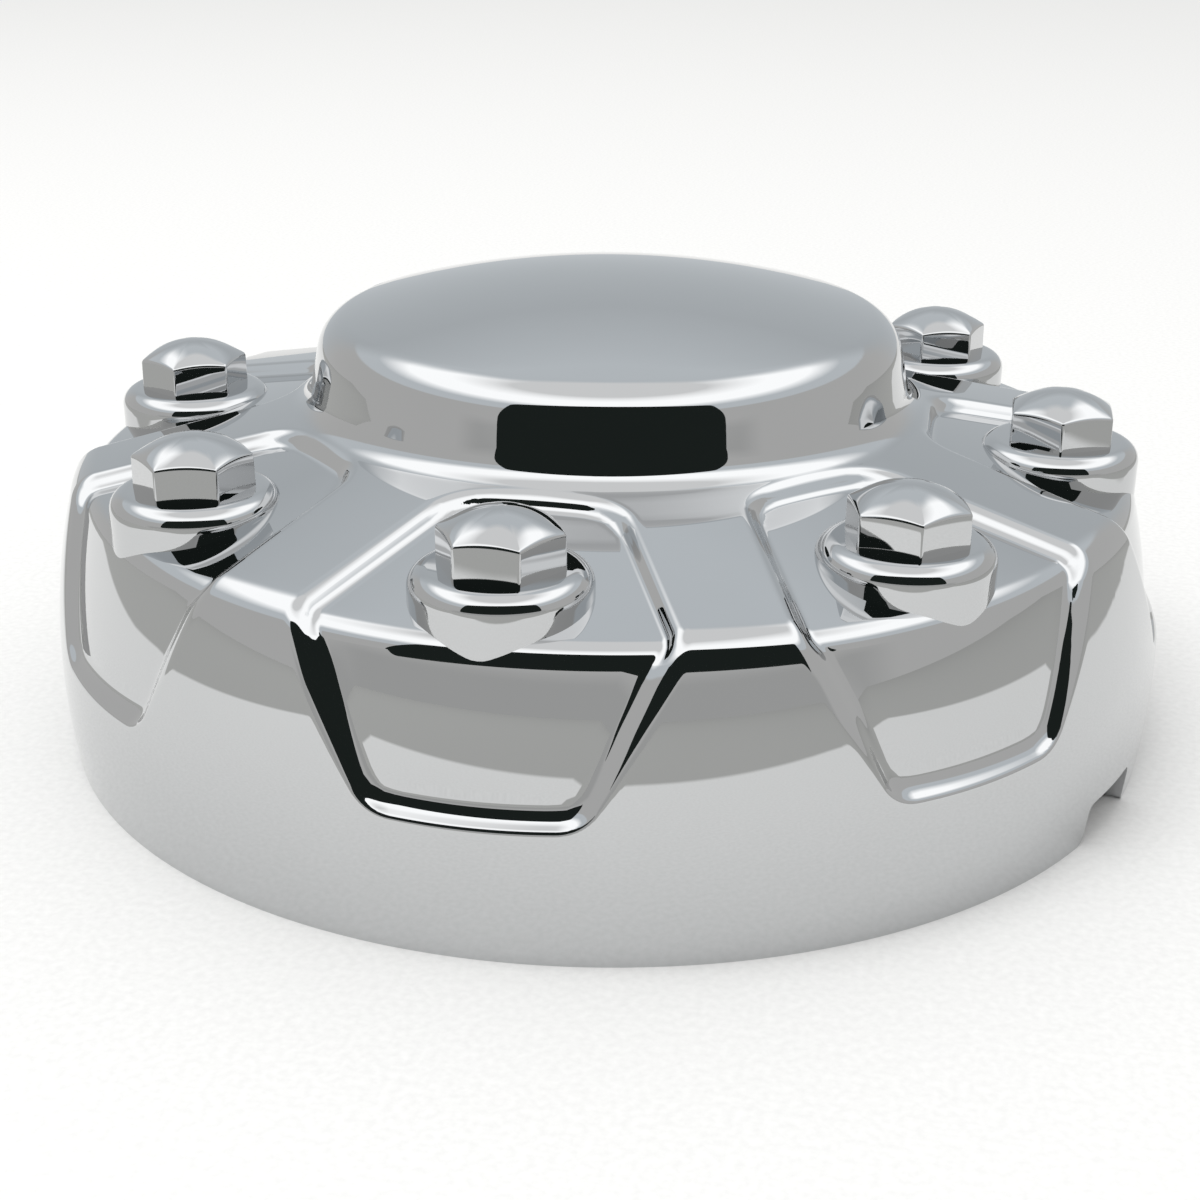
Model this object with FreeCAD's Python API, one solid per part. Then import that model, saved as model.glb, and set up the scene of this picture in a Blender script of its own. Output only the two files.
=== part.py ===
"""Chrome-plated wheel center cap, moulded in one piece with eight imitation lug nuts.

The cap stands on its rim: the origin is the middle of the rim plane, +Z runs up the axis to the
crown, and the first imitation nut lies on -Y. All sizes are in millimetres and degrees.
"""
import FreeCAD
import Part
import math
import os
from FreeCAD import Vector

# Skirt: a barrel-shaped wall from the rim up to the shoulder
RIM_RADIUS = 111.3
SHOULDER_RADIUS = 106.5
SHOULDER_HEIGHT = 55.7
SKIRT_BULGE = 3.3
SHOULDER_ROUND = 7.0

# Deck: the shallow cone between the shoulder and the dome
DECK_SLOPE = 12.0

# Dome: a tapered drum with a low crown
DOME_FOOT_RADIUS = 60.7
DOME_EDGE_RADIUS = 57.5
DOME_EDGE_HEIGHT = 81.0
CROWN_RISE = 8.7
DOME_FOOT_ROUND = 5.5
DOME_EDGE_ROUND = 8.4

# Thickness of the moulded wall
WALL = 3.0

# Imitation nuts, each a crowned hexagon on a round seat
NUT_COUNT = 8
BOLT_CIRCLE = 180.0
NUT_ACROSS_FLATS = 19.0
NUT_DRAFT = 1.0
NUT_HEIGHT = 5.9
NUT_CROWN = 4.5
SEAT_RADIUS = 15.4
SEAT_TOP = 61.3
SEAT_ROUND = 3.4

# Shield-shaped windows sunk into the deck, shoulder and skirt, one round each nut
WINDOW_DEPTH = 2.5
WINDOW_TOP_RADIUS = 64.4
WINDOW_TOP_WIDTH = 31.0
WINDOW_WAIST_WIDTH = 64.0
WINDOW_BOTTOM_HEIGHT = 25.5
WINDOW_BOTTOM_WIDTH = 35.0
WINDOW_TOP_ROUND = 10.0
WINDOW_BOTTOM_ROUND = 8.0

# The side walls of a window all lean towards one focus under the shoulder. The window's tool runs
# along the rays from the focus, from a near to a far share of their length to the corners.
WINDOW_FOCUS_RADIUS = 82.0
WINDOW_FOCUS_HEIGHT = 35.0
WINDOW_TOOL_NEAR = 0.4
WINDOW_TOOL_FAR = 1.6

# Pry notch in the rim, midway between two nuts
NOTCH_WIDTH = 20.0
NOTCH_HEIGHT = 8.2
NOTCH_EASE = 1.5
NOTCH_ANGLE = 67.5

# Radial stiffening ribs on the underside, between the windows
RIB_THICKNESS = 2.0
RIB_DEPTH = 6.0
RIB_END_HEIGHT = 22.0

# Arcs that repeat with the nuts, and those of the hidden side, are drawn as short straight bevels
SEAT_BEVELS = 3
HIDDEN_BEVELS = 3

# Room that a cutting tool reaches past the surface it cuts
CLEAR = 1.0
TOLERANCE = 1e-3

ORIGIN = Vector(0, 0, 0)
UP = Vector(0, 0, 1)
NUT_PITCH = 360.0 / NUT_COUNT
NUT_AXIS = Vector(0, -BOLT_CIRCLE / 2, 0)
DECK_RISE = math.tan(math.radians(DECK_SLOPE))
FOOT_HEIGHT = SHOULDER_HEIGHT + (SHOULDER_RADIUS - DOME_FOOT_RADIUS) * DECK_RISE
CROWN_TOP = DOME_EDGE_HEIGHT + CROWN_RISE
CROWN_RADIUS = (DOME_EDGE_RADIUS ** 2 + CROWN_RISE ** 2) / (2 * CROWN_RISE)
NUT_CORNER_TOP = SEAT_TOP + NUT_HEIGHT
SEAT_FOOT = SHOULDER_HEIGHT - WINDOW_DEPTH - SEAT_RADIUS
REACH = RIM_RADIUS + SKIRT_BULGE + WALL

# Sharp corners of the turned outline, before they are rounded
RIM = Vector(RIM_RADIUS, 0, 0)
SHOULDER = Vector(SHOULDER_RADIUS, 0, SHOULDER_HEIGHT)
FOOT = Vector(DOME_FOOT_RADIUS, 0, FOOT_HEIGHT)
EDGE = Vector(DOME_EDGE_RADIUS, 0, DOME_EDGE_HEIGHT)


def around(shape, first_angle=0.0):
    """Copies of a shape at every nut's pitch about the axis, from a first angle."""
    return [shape.rotated(ORIGIN, UP, first_angle + NUT_PITCH * k) for k in range(NUT_COUNT)]


def outward(start, end):
    """The unit normal on the outer side of a stretch of the outline that runs up and inwards."""
    run = (end - start).normalize()
    return Vector(run.z, 0, -run.x)


def meeting(first, second, near):
    """The point where two curves of the outline cross, the one nearest to a given point."""
    points = [Vector(p.X, p.Y, p.Z) for p in first.intersectCC(second)]
    return min(points, key=lambda point: (point - near).Length)


class Outline:
    """The turned outline at a depth under the skin: a skirt circle, two lines and a crown circle."""

    def __init__(self, depth):
        middle = (RIM + SHOULDER) * 0.5 + outward(RIM, SHOULDER) * SKIRT_BULGE
        self.skirt = Part.Arc(RIM, middle, SHOULDER).toShape().Curve
        self.skirt.Radius = self.skirt.Radius - depth
        self.crown = Part.Circle(UP * (CROWN_TOP - CROWN_RADIUS), Vector(0, 1, 0), CROWN_RADIUS - depth)
        self.deck = self.straight(SHOULDER, FOOT, depth)
        self.wall = self.straight(FOOT, EDGE, depth)
        self.shoulder = meeting(self.deck, self.skirt, SHOULDER)
        self.foot = meeting(self.deck, self.wall, FOOT)
        self.edge = meeting(self.wall, self.crown, EDGE)

    def straight(self, start, end, depth):
        """The line of a straight stretch, moved inwards by the depth."""
        shift = outward(start, end) * -depth
        return Part.Line(start + shift, end + shift)

    def skirt_point(self, height):
        """The point of the skirt at a height."""
        rise = height - self.skirt.Center.z
        return Vector(self.skirt.Center.x + math.sqrt(self.skirt.Radius ** 2 - rise ** 2), 0, height)


def rounded(corner, centre, radius, first, last):
    """Start, middle and end of a round about its centre, or the sharp corner if it has none."""
    if radius < TOLERANCE:
        return [corner]
    return [centre + way * radius for way in (first, (first + last).normalize(), last)]


def stretch(points):
    """An edge of the outline: a line between two points or an arc through three."""
    curve = Part.Arc(*points) if len(points) == 3 else Part.LineSegment(*points)
    return curve.toShape()


def bevels(points, count):
    """Points along an arc through three points, so that straight bevels can stand for it."""
    return Part.Arc(*points).discretize(Number=count + 1)


def turned(depth, base, ease=1):
    """The plain turned form with its skin moved inwards by a depth, solid down to a base height.

    A round keeps its centre at every depth. The rounds on the outer corners shrink with the
    depth until the corners are sharp, and the hollow round at the dome's foot grows with it.
    With no ease the corners stay sharp and the arcs are bevels, as on the hidden side.
    """
    line = Outline(depth)
    shoulder_centre = Outline(SHOULDER_ROUND).shoulder
    foot_centre = Outline(-DOME_FOOT_ROUND).foot
    edge_centre = Outline(DOME_EDGE_ROUND).edge
    skirt_way = (shoulder_centre - line.skirt.Center).normalize()
    deck_way = outward(SHOULDER, FOOT)
    wall_way = outward(FOOT, EDGE)
    crown_way = (edge_centre - line.crown.Center).normalize()
    shoulder = rounded(line.shoulder, shoulder_centre, ease * (SHOULDER_ROUND - depth), skirt_way, deck_way)
    foot = rounded(line.foot, foot_centre, ease * (DOME_FOOT_ROUND + depth), deck_way * -1, wall_way * -1)
    edge = rounded(line.edge, edge_centre, ease * (DOME_EDGE_ROUND - depth), wall_way, crown_way)
    low = line.skirt_point(base)
    middle = line.skirt_point((base + shoulder[0].z) / 2)
    brow_way = ((edge[-1] - line.crown.Center).normalize() + UP).normalize()
    brow = line.crown.Center + brow_way * line.crown.Radius
    top = UP * (CROWN_TOP - depth)
    stretches = [
        [low, middle, shoulder[0]],
        shoulder,
        [shoulder[-1], foot[0]],
        foot,
        [foot[-1], edge[0]],
        edge,
        [edge[-1], brow, top],
        [top, UP * base],
        [UP * base, low],
    ]
    edges = []
    for points in stretches:
        if len(points) == 3 and not ease:
            edges += Part.makePolygon(bevels(points, HIDDEN_BEVELS)).Edges
        elif len(points) > 1:
            edges.append(stretch(points))
    return Part.Face(Part.Wire(edges)).revolve(ORIGIN, UP, 360)


def window_corners():
    """The six sharp corners of the window on -Y, in order round its outline."""
    top_half = WINDOW_TOP_WIDTH / 2
    waist_half = WINDOW_WAIST_WIDTH / 2
    bottom_half = WINDOW_BOTTOM_WIDTH / 2
    top_inset = SHOULDER_RADIUS - math.hypot(WINDOW_TOP_RADIUS, top_half)
    top_height = SHOULDER_HEIGHT + top_inset * DECK_RISE
    waist_out = math.sqrt(SHOULDER_RADIUS ** 2 - waist_half ** 2)
    bottom_out = math.sqrt(RIM_RADIUS ** 2 - bottom_half ** 2)
    return [
        Vector(-top_half, -WINDOW_TOP_RADIUS, top_height),
        Vector(top_half, -WINDOW_TOP_RADIUS, top_height),
        Vector(waist_half, -waist_out, SHOULDER_HEIGHT),
        Vector(bottom_half, -bottom_out, WINDOW_BOTTOM_HEIGHT),
        Vector(-bottom_half, -bottom_out, WINDOW_BOTTOM_HEIGHT),
        Vector(-waist_half, -waist_out, SHOULDER_HEIGHT),
    ]


def blunted(corners, rounds):
    """A closed flat outline through sharp corners in order, each blunted to its own radius."""
    ends = []
    for k, (corner, radius) in enumerate(zip(corners, rounds)):
        back = (corners[k - 1] - corner).normalize()
        ahead = (corners[(k + 1) % len(corners)] - corner).normalize()
        half = back.getAngle(ahead) / 2
        trim = radius / math.tan(half)
        middle = corner + (back + ahead).normalize() * (radius / math.sin(half) - radius)
        ends.append([corner + back * trim, middle, corner + ahead * trim] if radius else [corner])
    edges = []
    for points, after in zip(ends, ends[1:] + ends[:1]):
        edges += [stretch(points)] if len(points) == 3 else []
        edges.append(stretch([points[-1], after[0]]))
    return Part.Wire(edges)


def window_tool():
    """A six-sided tool through the window's outline, and the way it points.

    It is two frusta, one for the deck and one for the skirt, that join at the shoulder. All their
    sides meet at the focus, so the window's walls slope like a shallow dish. The tool stops just
    above the deck so that it leaves the dome whole.
    """
    left_top, right_top, right_waist, right_bottom, left_bottom, left_waist = window_corners()
    focus = Vector(0, -WINDOW_FOCUS_RADIUS, WINDOW_FOCUS_HEIGHT)

    def frustum(corners, rounds):
        sections = []
        for share in (WINDOW_TOOL_NEAR, WINDOW_TOOL_FAR):
            ends = [focus + (corner - focus) * share for corner in corners]
            sections.append(blunted(ends, [radius * share for radius in rounds]))
        return Part.makeLoft(sections, True, True)

    deck = frustum([left_waist, left_top, right_top, right_waist], [0, WINDOW_TOP_ROUND, WINDOW_TOP_ROUND, 0])
    skirt_rounds = [0, WINDOW_BOTTOM_ROUND, WINDOW_BOTTOM_ROUND, 0]
    skirt = frustum([right_waist, right_bottom, left_bottom, left_waist], skirt_rounds)
    limit = Part.makeBox(2 * REACH, 2 * REACH, FOOT_HEIGHT + CLEAR, Vector(-REACH, -2 * REACH, 0))
    pull = Vector(0, right_waist.y - focus.y, right_waist.z - focus.z).normalize()
    return deck.fuse(skirt).common(limit), pull


def nut():
    """One imitation nut on -Y: a drafted hexagon with a crowned top, over a rounded seat."""
    corner_radius = NUT_ACROSS_FLATS / math.sqrt(3)
    taper = math.tan(math.radians(NUT_DRAFT))
    tip_height = NUT_CORNER_TOP + NUT_CROWN

    def hexagon(radius, height):
        ways = [math.radians(60 * k) for k in range(7)]
        return Part.makePolygon([
            NUT_AXIS + Vector(radius * math.cos(way), radius * math.sin(way), height) for way in ways
        ])

    base = hexagon(corner_radius + NUT_HEIGHT * taper, SEAT_TOP - SEAT_ROUND)
    tip = hexagon(corner_radius - NUT_CROWN * taper, tip_height)
    ball_radius = (corner_radius ** 2 + NUT_CROWN ** 2) / (2 * NUT_CROWN)
    ball = Part.makeSphere(ball_radius, NUT_AXIS + UP * (tip_height - ball_radius), Vector(0, 1, 0))
    head = Part.makeLoft([base, tip], True, True).common(ball)
    centre = Vector(SEAT_RADIUS - SEAT_ROUND, 0, SEAT_TOP - SEAT_ROUND)
    ways = [Vector(1, 0, 0), Vector(1, 0, 1).normalize(), UP]
    rim = bevels([centre + way * SEAT_ROUND for way in ways], SEAT_BEVELS)
    rest = [UP * SEAT_TOP, UP * SEAT_FOOT, Vector(SEAT_RADIUS, 0, SEAT_FOOT)]
    seat = Part.Face(Part.makePolygon(rim + rest + rim[:1])).revolve(ORIGIN, UP, 360)
    return seat.translated(NUT_AXIS).fuse(head)


def nut_core():
    """The hollow under one imitation nut, stepped from the seat's bore to the nut's bore."""
    foot = NUT_AXIS + UP * SEAT_FOOT
    seat_bore = Part.makeCylinder(SEAT_RADIUS - WALL, SEAT_TOP - WALL - SEAT_FOOT, foot)
    nut_bore = Part.makeCylinder(NUT_ACROSS_FLATS / 2 - WALL, NUT_CORNER_TOP - SEAT_FOOT, foot)
    return seat_bore.fuse(nut_bore)


def rib(underside):
    """One stiffening rib on -Y that follows the underside from the dome to low on the skirt."""
    start = Vector(-RIB_THICKNESS / 2, -REACH, RIB_END_HEIGHT)
    plate = Part.makeBox(RIB_THICKNESS, REACH - DOME_FOOT_RADIUS, FOOT_HEIGHT - RIB_END_HEIGHT, start)
    return plate.common(underside).cut(turned(WALL + RIB_DEPTH, -CLEAR, 0))


def notch():
    """The pry notch's tool on -Y: an upright slot through the rim with eased mouth corners."""
    half = NOTCH_WIDTH / 2
    side = [(half, NOTCH_HEIGHT), (half, NOTCH_EASE), (half + NOTCH_EASE + CLEAR, -CLEAR)]
    outline = [(-x, z) for x, z in side] + side[::-1]
    points = [Vector(x, -REACH, z) for x, z in outline]
    face = Part.Face(Part.makePolygon(points + points[:1]))
    return face.extrude(Vector(0, REACH - SHOULDER_RADIUS + SEAT_RADIUS, 0))


def center_cap():
    """The finished cap: the windowed outside with its nuts, less the hollow and the notch."""
    underside = turned(WALL, -CLEAR, 0)
    tool, pull = window_tool()
    pocket = tool.cut(turned(WINDOW_DEPTH, -CLEAR))
    pad_tool = tool.translated(pull * (-WALL * math.sqrt(2)))
    pad = pad_tool.common(underside).cut(turned(WALL + WINDOW_DEPTH, -CLEAR, 0))
    outside = turned(0, 0).cut(around(pocket)).fuse(around(nut()))
    hollow = underside.cut(around(pad) + around(rib(underside), NUT_PITCH / 2))
    hollow = hollow.fuse(around(nut_core()))
    return outside.cut([hollow, notch().rotated(ORIGIN, UP, NOTCH_ANGLE)]).removeSplitter()


os.makedirs("parts", exist_ok=True)
cap = center_cap()
print("solids", len(cap.Solids), "valid", cap.isValid(), "volume", round(cap.Volume))
cap.exportStep("parts/center_cap.step")
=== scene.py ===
"""Looks of a chrome wheel center cap: mirror skin, sunken windows, seats and imitation nuts.

Every piece is a numpy surface over two parameters, in metres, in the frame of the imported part:
+Z up from the rim, the first nut on -Y, and bearings counted from -Y towards +X.
"""
import math

import bpy
import numpy as np
from bpy.props import FloatProperty, FloatVectorProperty, PointerProperty
from mathutils import Matrix, Vector


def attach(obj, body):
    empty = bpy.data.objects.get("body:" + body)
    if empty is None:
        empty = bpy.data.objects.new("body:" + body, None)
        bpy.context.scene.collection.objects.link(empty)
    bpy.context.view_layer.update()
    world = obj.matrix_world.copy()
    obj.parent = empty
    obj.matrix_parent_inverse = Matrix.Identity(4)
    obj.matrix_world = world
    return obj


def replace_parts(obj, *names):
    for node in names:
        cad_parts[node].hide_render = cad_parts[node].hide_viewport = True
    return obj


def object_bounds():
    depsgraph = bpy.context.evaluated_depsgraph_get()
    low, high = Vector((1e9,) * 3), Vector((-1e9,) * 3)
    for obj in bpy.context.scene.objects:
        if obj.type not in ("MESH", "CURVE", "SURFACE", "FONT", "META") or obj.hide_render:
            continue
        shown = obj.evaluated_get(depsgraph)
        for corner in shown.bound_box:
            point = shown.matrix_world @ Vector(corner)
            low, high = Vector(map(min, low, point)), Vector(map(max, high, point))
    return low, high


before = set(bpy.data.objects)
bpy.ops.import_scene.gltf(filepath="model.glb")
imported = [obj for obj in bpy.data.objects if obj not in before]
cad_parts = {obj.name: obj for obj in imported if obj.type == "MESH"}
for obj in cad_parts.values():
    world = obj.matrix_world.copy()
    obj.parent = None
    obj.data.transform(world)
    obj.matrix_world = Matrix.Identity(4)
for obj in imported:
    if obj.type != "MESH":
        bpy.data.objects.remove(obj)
CAD_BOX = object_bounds()

bl_info = {
    "name": "Chrome Wheel Center Cap",
    "version": (1, 0, 0),
    "blender": (4, 5, 0),
    "location": "View3D > Sidebar > Center Cap",
    "description": "Builds the mirror skin of a wheel center cap, its imitation nuts and a studio",
    "category": "Object",
}

NODE = "center_cap"
BODY = "root"
NUTS = 8
PITCH = 2 * math.pi / NUTS
TALL = CAD_BOX[1].z - CAD_BOX[0].z
SIGHT = math.radians(11.11)
EYE = Vector((0.0717, -0.3651, 0.1707))


def mm(value):
    """Millimetres as metres."""
    return value * 0.001


def mix(first, second, share):
    """The value a share of the way from the first to the second."""
    return first + (second - first) * share


def progress(value, start, end):
    """How far values lie on the way from a start to an end, held between 0 and 1."""
    return np.clip((value - start) / (end - start), 0.0, 1.0)


def size(name, description, default):
    """A length property whose default is given in millimetres."""
    length = mm(default)
    return FloatProperty(name=name, description=description, default=length, unit="LENGTH", precision=5)


def bearing(name, description, default):
    """An angle property whose default is given in degrees."""
    angle = math.radians(default)
    return FloatProperty(name=name, description=description, default=angle, unit="ROTATION")


def colour(name, description, default):
    """A colour property."""
    return FloatVectorProperty(name=name, description=description, default=default, subtype="COLOR")


class CapSizes(bpy.types.PropertyGroup):
    """Sizes of the turned form, its windows and its notch."""

    rim_radius: size("Rim radius", "Outer radius of the rim that rests on the wheel", 111.3)
    shoulder_radius: size("Shoulder radius", "Radius of the shoulder before it is rounded", 106.5)
    shoulder_height: size("Shoulder height", "Height of the shoulder before it is rounded", 55.7)
    shoulder_round: size("Shoulder round", "Radius that rounds the shoulder", 7.0)
    skirt_bulge: size("Skirt bulge", "How far the skirt bows out from its chord", 3.25)
    deck_slope: bearing("Deck slope", "Slope of the deck's cone", 12.0)
    foot_radius: size("Dome foot radius", "Radius where the dome's wall meets the deck", 60.7)
    foot_round: size("Dome foot round", "Radius of the hollow round at the dome's foot", 5.5)
    edge_radius: size("Dome edge radius", "Radius of the dome's edge before it is rounded", 57.5)
    edge_height: size("Dome edge height", "Height of the dome's edge before it is rounded", 81.0)
    edge_round: size("Dome edge round", "Radius that rounds the dome's edge", 8.4)
    wall: size("Wall", "Thickness of the moulded wall", 3.0)
    window_depth: size("Window depth", "How deep a window is sunk", 2.5)
    window_top: size("Window top", "Radius of the middle of a window's top edge", 64.4)
    top_width: size("Window top width", "Width of a window's top edge", 31.0)
    waist_width: size("Window waist width", "Width of a window at the shoulder", 64.0)
    window_bottom: size("Window bottom", "Height of a window's lower corners", 25.5)
    bottom_width: size("Window bottom width", "Width of a window's lower edge", 35.0)
    focus_radius: size("Focus radius", "Radius of the point that a window's walls lean to", 82.0)
    focus_height: size("Focus height", "Height of the point that a window's walls lean to", 35.0)
    brow_round: size("Brow round", "Radius of the rounded lip round a window", 3.2)
    skirt_brow_round: size("Skirt brow round", "Radius of the lip of a window's sides on the skirt", 5.5)
    toe_round: size("Toe round", "Radius of the hollow round where a window's floor begins", 2.4)
    low_brow_round: size("Low brow round", "Radius of the lip along a window's lower edge", 1.0)
    low_toe_round: size("Low toe round", "Radius of the hollow round along a window's lower edge", 4.5)
    notch_width: size("Notch width", "Width of the pry notch", 20.0)
    notch_height: size("Notch height", "Height of the pry notch", 8.2)
    notch_round: size("Notch round", "Radius of the corners of the pry notch's mouth", 2.0)
    notch_bearing: bearing("Notch bearing", "Bearing of the middle of the pry notch", 67.5)
    rib_thickness: size("Rib thickness", "Thickness of a stiffening rib", 2.0)
    rib_depth: size("Rib depth", "How far a stiffening rib stands out of the underside", 6.0)
    rib_end: size("Rib end", "Height where a stiffening rib ends on the skirt", 22.0)


class NutSizes(bpy.types.PropertyGroup):
    """Sizes of one imitation nut and its seat."""

    circle: size("Bolt circle radius", "Radius of the circle that the nuts stand on", 90.0)
    across_flats: size("Across flats", "Width of the hexagon across its flats", 19.0)
    corner_round: size("Corner round", "Radius that rounds the hexagon's upright corners", 0.6)
    lip_round: size("Lip round", "Radius that rounds the edge of the crown", 0.5)
    corner_height: size("Corner height", "Height of the hexagon's upper corners", 67.2)
    crown: size("Crown", "Rise of the crown above the upper corners", 3.9)
    flat_lift: size("Flat lift", "Rise of the hexagon's upper edge in the middle of a flat", 0.5)
    seat_radius: size("Seat radius", "Radius of the round seat", 15.4)
    seat_top: size("Seat top", "Height of the seat's top", 61.3)
    seat_round: size("Seat round", "Radius that rounds the seat's top edge", 3.4)


class FinishColours(bpy.types.PropertyGroup):
    """Colours of the plating and of the studio."""

    chrome: colour("Chrome", "Mirror colour of the plating", (0.56, 0.568, 0.575))
    floor: colour("Floor", "Colour of the pale sheet under the cap", (0.88, 0.88, 0.87))
    table: colour("Table", "Colour of the floor beyond the pale sheet", (0.48, 0.48, 0.465))
    dark_screen: colour("Dark panel", "Colour of the panel at the camera", (0.017, 0.022, 0.020))
    # The screen colours are painted light: the screen glows with them in place of the lit room, and only
    # reflections see it.
    low_screen: colour("Low screen", "Colour of the screen's foot behind the camera", (0.31, 0.31, 0.305))
    side_screen: colour("Side screen", "Colour of the screen beside the cap", (0.375, 0.372, 0.366))
    far_screen: colour("Far screen", "Colour of the screen beyond the cap", (0.345, 0.365, 0.38))
    high_screen: colour("High screen", "Colour of the screen high up", (0.445, 0.47, 0.49))


# Turned outline


def cross_lines(first_way, first_reach, second_way, second_reach):
    """The point whose products with two unit normals are two given reaches."""
    return np.linalg.solve(np.array([first_way, second_way]), np.array([first_reach, second_reach]))


def cross_circle(way, reach, centre, radius, near):
    """The crossing of a line, given by normal and reach, with a circle, nearest to a point."""
    height = reach - way @ centre
    along = np.array([-way[1], way[0]]) * math.sqrt(radius ** 2 - height ** 2)
    points = [centre + way * height + along, centre + way * height - along]
    return min(points, key=lambda point: np.linalg.norm(point - near))


class Outline:
    """The turned outline from the middle of the crown to the rim, measured along its length.

    It is a chain of arcs and straight stretches with one common tangent at every joint. A stretch
    is kept as its kind, centre or start, radius and the bearings of its outward normal at both
    ends, so a point on it is centre plus or minus radius times the normal.
    """

    def __init__(self, sizes):
        rim = np.array([sizes.rim_radius, 0.0])
        shoulder = np.array([sizes.shoulder_radius, sizes.shoulder_height])
        rise = (sizes.shoulder_radius - sizes.foot_radius) * math.tan(sizes.deck_slope)
        foot = np.array([sizes.foot_radius, sizes.shoulder_height + rise])
        edge = np.array([sizes.edge_radius, sizes.edge_height])
        crown_rise = TALL - sizes.edge_height
        crown_radius = (sizes.edge_radius ** 2 + crown_rise ** 2) / (2 * crown_rise)
        crown_centre = np.array([0.0, TALL - crown_radius])
        chord = shoulder - rim
        half = np.linalg.norm(chord) / 2
        bow = (half ** 2 + sizes.skirt_bulge ** 2) / (2 * sizes.skirt_bulge)
        out = np.array([chord[1], -chord[0]]) / (2 * half)
        bow_centre = (rim + shoulder) / 2 - out * (bow - sizes.skirt_bulge)
        deck = np.array([math.sin(sizes.deck_slope), math.cos(sizes.deck_slope)])
        rise_way = (edge - foot) / np.linalg.norm(edge - foot)
        wall = np.array([rise_way[1], -rise_way[0]])
        edge_centre = cross_circle(
            wall, wall @ foot - sizes.edge_round, crown_centre, crown_radius - sizes.edge_round, edge
        )
        foot_centre = cross_lines(
            wall, wall @ foot + sizes.foot_round, deck, deck @ foot + sizes.foot_round
        )
        ease = sizes.shoulder_round
        shoulder_centre = cross_circle(deck, deck @ shoulder - ease, bow_centre, bow - ease, shoulder)
        wall_top = edge_centre + wall * sizes.edge_round
        wall_foot = foot_centre - wall * sizes.foot_round
        deck_top = foot_centre - deck * sizes.foot_round
        deck_foot = shoulder_centre + deck * ease
        top_turn = math.pi / 2
        edge_turn = math.atan2(*(edge_centre - crown_centre)[::-1])
        wall_turn = math.atan2(wall[1], wall[0])
        deck_turn = math.atan2(deck[1], deck[0])
        skirt_turn = math.atan2(*(shoulder_centre - bow_centre)[::-1])
        rim_turn = math.atan2(*(rim - bow_centre)[::-1])
        self.stretches = []
        self.arc(crown_centre, crown_radius, top_turn, edge_turn)
        self.arc(edge_centre, sizes.edge_round, edge_turn, wall_turn)
        self.line(wall_top, wall_foot, wall_turn)
        self.arc(foot_centre, -sizes.foot_round, wall_turn, deck_turn)
        self.line(deck_top, deck_foot, deck_turn)
        self.arc(shoulder_centre, ease, deck_turn, skirt_turn)
        self.arc(bow_centre, bow, skirt_turn, rim_turn)
        self.ends = np.cumsum([0.0] + [stretch[0] for stretch in self.stretches])
        self.total = self.ends[-1]
        names = ("crown", "edge", "wall", "foot", "deck", "shoulder", "skirt")
        self.span = {name: self.ends[k:k + 2] for k, name in enumerate(names)}

    def arc(self, centre, radius, first, last):
        """Adds an arc; a negative radius is a hollow round."""
        self.stretches.append((abs(radius * (last - first)), centre, radius, first, last, np.zeros(2)))

    def line(self, start, end, turn):
        """Adds a straight stretch."""
        reach = np.linalg.norm(end - start)
        self.stretches.append((reach, start, 0.0, turn, turn, (end - start) / reach))

    def at(self, along):
        """Radius, height and outward normal (radial and upward) at distances along the outline."""
        along = np.clip(along, 0.0, self.total)
        which = np.clip(np.searchsorted(self.ends, along, side="right") - 1, 0, len(self.stretches) - 1)
        columns = [np.array(column) for column in zip(*self.stretches)]
        lengths, centres, radii, firsts, lasts, ways = columns
        inside = along - self.ends[which]
        turn = firsts[which] + (lasts - firsts)[which] * inside / lengths[which]
        normal = np.stack([np.cos(turn), np.sin(turn)], -1)
        point = centres[which] + radii[which][..., None] * normal + ways[which] * inside[..., None]
        return point[..., 0], point[..., 1], normal[..., 0], normal[..., 1]

    def at_height(self, height):
        """Distance along the outline where the skirt has a height."""
        along = np.linspace(*self.span["skirt"], 200)
        heights = self.at(along)[1]
        return np.interp(height, heights[::-1], along[::-1])


# Sunken windows


def blunt_max(first, second, lean, blunt):
    """The larger of two plane distances, with the corner between the planes rounded to a radius.

    The planes are first moved in by the radius. Beyond both of them the distance is that from the
    moved corner, worked out from the two distances and the lean, the product of the two normals.
    """
    one, two = first + blunt, second + blunt
    square = np.maximum(one ** 2 + two ** 2 - 2 * lean * one * two, 0.0)
    corner = np.sqrt(square / (1 - lean ** 2)) - blunt
    past = (one > lean * two) & (two > lean * one)
    return np.where(past, corner, np.maximum(first, second))


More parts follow.
